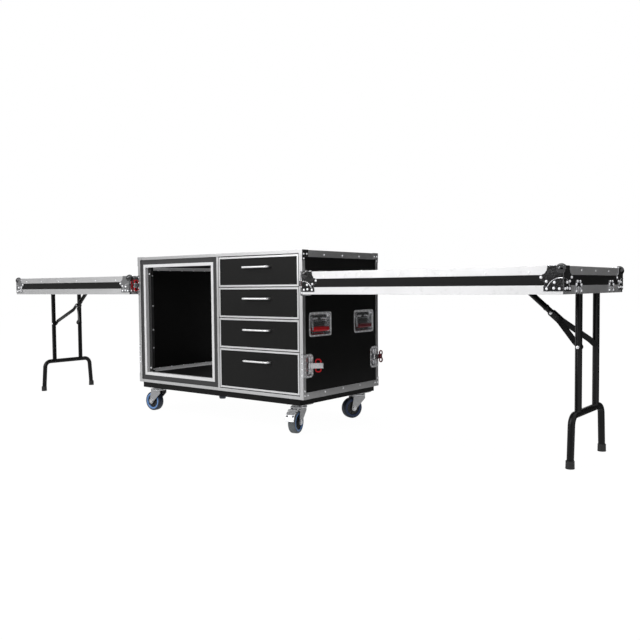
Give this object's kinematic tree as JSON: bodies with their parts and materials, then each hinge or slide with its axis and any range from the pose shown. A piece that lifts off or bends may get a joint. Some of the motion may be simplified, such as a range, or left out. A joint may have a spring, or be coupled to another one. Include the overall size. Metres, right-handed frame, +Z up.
{
  "type": "workstation flight case",
  "caption": "Wheeled flight case with a rack bay, drawers, recessed handles and butterfly latches; its two lids hang at the ends as folding-leg tables.",
  "frame": {"origin": "floor level under the middle of the whole part, tables hung and legs down", "axes": "+X to the right table, +Y from the front face to the rear, +Z up; drawers open towards -Y"},
  "size_m": [3.4118, 0.6645, 0.8032],
  "materials": {
    "laminate": "plywood with a black rough-grained laminate",
    "drawer_board": "plywood drawer with a charcoal laminate front",
    "foam": "closed-cell shock foam",
    "steel": "zinc-plated pressed steel",
    "alloy": "satin anodised extrusion",
    "zinc": "bright zinc-plated steel",
    "wheel_rubber": "grey tread on a plastic wheel with a blue ring",
    "red_plastic": "red grip and butterfly",
    "black_steel": "gloss black powder coat"
  },
  "bodies": {
    "case": {"outer_boards": "laminate", "inner_boards": "laminate", "rack_sleeve": "laminate", "rack_foam": "foam", "rack_rails": "steel", "edge_profiles": "alloy", "corner_caps": "steel", "recess_dishes": "steel", "drawer_runners": "zinc", "caster_board": "laminate", "caster_plates": "zinc", "table_hangers": "steel"},
    "drawer_1": {"drawer_box_1": "drawer_board", "drawer_trim_1": "alloy"},
    "drawer_2": {"drawer_box_2": "drawer_board", "drawer_trim_2": "alloy"},
    "drawer_3": {"drawer_box_3": "drawer_board", "drawer_trim_3": "alloy"},
    "drawer_4": {"drawer_box_4": "drawer_board", "drawer_trim_4": "alloy"},
    "caster_front_left": {"caster_fork_front_left": "zinc"},
    "wheel_front_left": {"caster_wheel_front_left": "wheel_rubber"},
    "caster_front_right": {"caster_fork_front_right": "zinc"},
    "wheel_front_right": {"caster_wheel_front_right": "wheel_rubber"},
    "pedal_front_right": {"brake_pedal_front_right": "zinc"},
    "caster_rear_left": {"caster_fork_rear_left": "zinc"},
    "wheel_rear_left": {"caster_wheel_rear_left": "wheel_rubber"},
    "pedal_rear_left": {"brake_pedal_rear_left": "zinc"},
    "caster_rear_right": {"caster_fork_rear_right": "zinc"},
    "wheel_rear_right": {"caster_wheel_rear_right": "wheel_rubber"},
    "grip_front_left": {"handle_grip_front_left": "red_plastic"},
    "grip_front_right": {"handle_grip_front_right": "red_plastic"},
    "grip_rear_left": {"handle_grip_rear_left": "red_plastic"},
    "grip_rear_right": {"handle_grip_rear_right": "red_plastic"},
    "latch_arm_front_left_low": {"latch_arm_front_left_low": "steel"},
    "latch_knob_front_left_low": {"latch_knob_front_left_low": "red_plastic"},
    "latch_arm_front_left_high": {"latch_arm_front_left_high": "steel"},
    "latch_knob_front_left_high": {"latch_knob_front_left_high": "red_plastic"},
    "latch_arm_front_right_low": {"latch_arm_front_right_low": "steel"},
    "latch_knob_front_right_low": {"latch_knob_front_right_low": "red_plastic"},
    "latch_arm_front_right_high": {"latch_arm_front_right_high": "steel"},
    "latch_knob_front_right_high": {"latch_knob_front_right_high": "red_plastic"},
    "latch_arm_rear_left_low": {"latch_arm_rear_left_low": "steel"},
    "latch_knob_rear_left_low": {"latch_knob_rear_left_low": "red_plastic"},
    "latch_arm_rear_left_high": {"latch_arm_rear_left_high": "steel"},
    "latch_knob_rear_left_high": {"latch_knob_rear_left_high": "red_plastic"},
    "latch_arm_rear_right_low": {"latch_arm_rear_right_low": "steel"},
    "latch_knob_rear_right_low": {"latch_knob_rear_right_low": "red_plastic"},
    "latch_arm_rear_right_high": {"latch_arm_rear_right_high": "steel"},
    "latch_knob_rear_right_high": {"latch_knob_rear_right_high": "red_plastic"},
    "table_left": {"table_tray_left": "laminate", "table_fittings_left": "alloy"},
    "leg_left": {"table_leg_left": "black_steel"},
    "link_left": {"brace_link_left": "black_steel"},
    "fork_left": {"brace_fork_left": "black_steel"},
    "table_right": {"table_tray_right": "laminate", "table_fittings_right": "alloy"},
    "leg_right": {"table_leg_right": "black_steel"},
    "link_right": {"brace_link_right": "black_steel"},
    "fork_right": {"brace_fork_right": "black_steel"}
  },
  "joints": [
    {"name": "drawer_1_slide", "type": "slide", "parent": "case", "child": "drawer_1", "axis": [0, -1, 0], "range_m": [0, 0.45]},
    {"name": "drawer_2_slide", "type": "slide", "parent": "case", "child": "drawer_2", "axis": [0, -1, 0], "range_m": [0, 0.45]},
    {"name": "drawer_3_slide", "type": "slide", "parent": "case", "child": "drawer_3", "axis": [0, -1, 0], "range_m": [0, 0.45]},
    {"name": "drawer_4_slide", "type": "slide", "parent": "case", "child": "drawer_4", "axis": [0, -1, 0], "range_m": [0, 0.45]},
    {"name": "caster_front_left_swivel", "type": "hinge", "parent": "case", "child": "caster_front_left", "pos_m": [-0.4785, -0.225, 0.12], "axis": [0, 0, 1], "continuous": true},
    {"name": "wheel_front_left_axle", "type": "hinge", "parent": "caster_front_left", "child": "wheel_front_left", "pos_m": [-0.51432, -0.22858, 0.05], "axis": [0.0993, -0.9951, 0], "continuous": true},
    {"name": "caster_front_right_swivel", "type": "hinge", "parent": "case", "child": "caster_front_right", "pos_m": [0.4785, -0.225, 0.12], "axis": [0, 0, 1], "continuous": true},
    {"name": "wheel_front_right_axle", "type": "hinge", "parent": "caster_front_right", "child": "wheel_front_right", "pos_m": [0.48824, -0.25966, 0.05], "axis": [0.9627, 0.2706, 0], "continuous": true},
    {"name": "pedal_front_right_press", "type": "hinge", "parent": "caster_front_right", "child": "pedal_front_right", "pos_m": [0.48716, -0.25581, 0.1062], "axis": [0.9627, 0.2706, 0], "range_deg": [0, 8]},
    {"name": "caster_rear_left_swivel", "type": "hinge", "parent": "case", "child": "caster_rear_left", "pos_m": [-0.4785, 0.225, 0.12], "axis": [0, 0, 1], "continuous": true},
    {"name": "wheel_rear_left_axle", "type": "hinge", "parent": "caster_rear_left", "child": "wheel_rear_left", "pos_m": [-0.50116, 0.25298, 0.05], "axis": [-0.7771, -0.6293, 0], "continuous": true},
    {"name": "pedal_rear_left_press", "type": "hinge", "parent": "caster_rear_left", "child": "pedal_rear_left", "pos_m": [-0.49864, 0.24987, 0.1062], "axis": [-0.7771, -0.6293, 0], "range_deg": [0, 8]},
    {"name": "caster_rear_right_swivel", "type": "hinge", "parent": "case", "child": "caster_rear_right", "pos_m": [0.4785, 0.225, 0.12], "axis": [0, 0, 1], "continuous": true},
    {"name": "wheel_rear_right_axle", "type": "hinge", "parent": "caster_rear_right", "child": "wheel_rear_right", "pos_m": [0.46403, 0.19204, 0.05], "axis": [0.9157, -0.4019, 0], "continuous": true},
    {"name": "grip_front_left_lift", "type": "hinge", "parent": "case", "child": "grip_front_left", "pos_m": [-0.5525, -0.166, 0.5005], "axis": [0, 1, 0], "range_deg": [0, 90], "stiffness_Nm_per_rad": 0.3, "springref_deg": -20.05},
    {"name": "grip_front_right_lift", "type": "hinge", "parent": "case", "child": "grip_front_right", "pos_m": [0.5525, -0.166, 0.5005], "axis": [0, -1, 0], "range_deg": [0, 90], "stiffness_Nm_per_rad": 0.3, "springref_deg": -20.05},
    {"name": "grip_rear_left_lift", "type": "hinge", "parent": "case", "child": "grip_rear_left", "pos_m": [-0.5525, 0.166, 0.5005], "axis": [0, 1, 0], "range_deg": [0, 90], "stiffness_Nm_per_rad": 0.3, "springref_deg": -20.05},
    {"name": "grip_rear_right_lift", "type": "hinge", "parent": "case", "child": "grip_rear_right", "pos_m": [0.5525, 0.166, 0.5005], "axis": [0, -1, 0], "range_deg": [0, 90], "stiffness_Nm_per_rad": 0.3, "springref_deg": -20.05},
    {"name": "latch_arm_front_left_low_swing", "type": "hinge", "parent": "case", "child": "latch_arm_front_left_low", "pos_m": [-0.5605, -0.25, 0.3], "axis": [0, 0, -1], "range_deg": [-135, 15]},
    {"name": "latch_knob_front_left_low_twist", "type": "hinge", "parent": "latch_arm_front_left_low", "child": "latch_knob_front_left_low", "pos_m": [-0.5849, -0.2178, 0.3], "axis": [0.7071, 0.7071, 0], "range_deg": [0, 180]},
    {"name": "latch_arm_front_left_high_swing", "type": "hinge", "parent": "case", "child": "latch_arm_front_left_high", "pos_m": [-0.5605, -0.25, 0.657], "axis": [0, 0, -1], "range_deg": [0, 4]},
    {"name": "latch_knob_front_left_high_twist", "type": "hinge", "parent": "latch_arm_front_left_high", "child": "latch_knob_front_left_high", "pos_m": [-0.5705, -0.29, 0.657], "axis": [-1, 0, 0], "range_deg": [0, 180]},
    {"name": "latch_arm_front_right_low_swing", "type": "hinge", "parent": "case", "child": "latch_arm_front_right_low", "pos_m": [0.5605, -0.25, 0.3], "axis": [0, 0, 1], "range_deg": [-135, 15]},
    {"name": "latch_knob_front_right_low_twist", "type": "hinge", "parent": "latch_arm_front_right_low", "child": "latch_knob_front_right_low", "pos_m": [0.5849, -0.2178, 0.3], "axis": [-0.7071, 0.7071, 0], "range_deg": [0, 180]},
    {"name": "latch_arm_front_right_high_swing", "type": "hinge", "parent": "case", "child": "latch_arm_front_right_high", "pos_m": [0.5605, -0.25, 0.657], "axis": [0, 0, 1], "range_deg": [0, 4]},
    {"name": "latch_knob_front_right_high_twist", "type": "hinge", "parent": "latch_arm_front_right_high", "child": "latch_knob_front_right_high", "pos_m": [0.5705, -0.29, 0.657], "axis": [1, 0, 0], "range_deg": [0, 180]},
    {"name": "latch_arm_rear_left_low_swing", "type": "hinge", "parent": "case", "child": "latch_arm_rear_left_low", "pos_m": [-0.5605, 0.25, 0.3], "axis": [0, 0, 1], "range_deg": [0, 150]},
    {"name": "latch_knob_rear_left_low_twist", "type": "hinge", "parent": "latch_arm_rear_left_low", "child": "latch_knob_rear_left_low", "pos_m": [-0.5705, 0.29, 0.3], "axis": [-1, 0, 0], "range_deg": [0, 180]},
    {"name": "latch_arm_rear_left_high_swing", "type": "hinge", "parent": "case", "child": "latch_arm_rear_left_high", "pos_m": [-0.5605, 0.25, 0.657], "axis": [0, 0, 1], "range_deg": [0, 4]},
    {"name": "latch_knob_rear_left_high_twist", "type": "hinge", "parent": "latch_arm_rear_left_high", "child": "latch_knob_rear_left_high", "pos_m": [-0.5705, 0.29, 0.657], "axis": [-1, 0, 0], "range_deg": [0, 180]},
    {"name": "latch_arm_rear_right_low_swing", "type": "hinge", "parent": "case", "child": "latch_arm_rear_right_low", "pos_m": [0.5605, 0.25, 0.3], "axis": [0, 0, -1], "range_deg": [0, 150]},
    {"name": "latch_knob_rear_right_low_twist", "type": "hinge", "parent": "latch_arm_rear_right_low", "child": "latch_knob_rear_right_low", "pos_m": [0.5705, 0.29, 0.3], "axis": [1, 0, 0], "range_deg": [0, 180]},
    {"name": "latch_arm_rear_right_high_swing", "type": "hinge", "parent": "case", "child": "latch_arm_rear_right_high", "pos_m": [0.5605, 0.25, 0.657], "axis": [0, 0, -1], "range_deg": [0, 4]},
    {"name": "latch_knob_rear_right_high_twist", "type": "hinge", "parent": "latch_arm_rear_right_high", "child": "latch_knob_rear_right_high", "pos_m": [0.5705, 0.29, 0.657], "axis": [1, 0, 0], "range_deg": [0, 180]},
    {"name": "table_left_lift", "type": "slide", "parent": "case", "child": "table_left", "axis": [0, 0, 1], "range_m": [0, 0.06]},
    {"name": "leg_left_fold", "type": "hinge", "parent": "table_left", "child": "leg_left", "pos_m": [-1.67, 0, 0.678], "axis": [0, -1, 0], "range_deg": [0, 90]},
    {"name": "link_left_fold", "type": "hinge", "parent": "table_left", "child": "link_left", "pos_m": [-1.377, 0, 0.678], "axis": [0, 1, 0], "range_deg": [0, 41.26]},
    {"name": "fork_left_fold", "type": "hinge", "parent": "link_left", "child": "fork_left", "pos_m": [-1.53703, 0, 0.53763], "axis": [0, -1, 0], "range_deg": [0, 180]},
    {"name": "table_right_lift", "type": "slide", "parent": "case", "child": "table_right", "axis": [0, 0, 1], "range_m": [0, 0.06]},
    {"name": "leg_right_fold", "type": "hinge", "parent": "table_right", "child": "leg_right", "pos_m": [1.67, 0, 0.678], "axis": [0, 1, 0], "range_deg": [0, 90]},
    {"name": "link_right_fold", "type": "hinge", "parent": "table_right", "child": "link_right", "pos_m": [1.377, 0, 0.678], "axis": [0, -1, 0], "range_deg": [0, 41.26]},
    {"name": "fork_right_fold", "type": "hinge", "parent": "link_right", "child": "fork_right", "pos_m": [1.53703, 0, 0.53763], "axis": [0, 1, 0], "range_deg": [0, 180]}
  ],
  "couplings": [
    {"joint": "link_left_fold", "follows": "leg_left_fold", "ratio": 0.45839},
    {"joint": "fork_left_fold", "follows": "leg_left_fold", "ratio": 2},
    {"joint": "link_right_fold", "follows": "leg_right_fold", "ratio": 0.45839},
    {"joint": "fork_right_fold", "follows": "leg_right_fold", "ratio": 2}
  ]
}
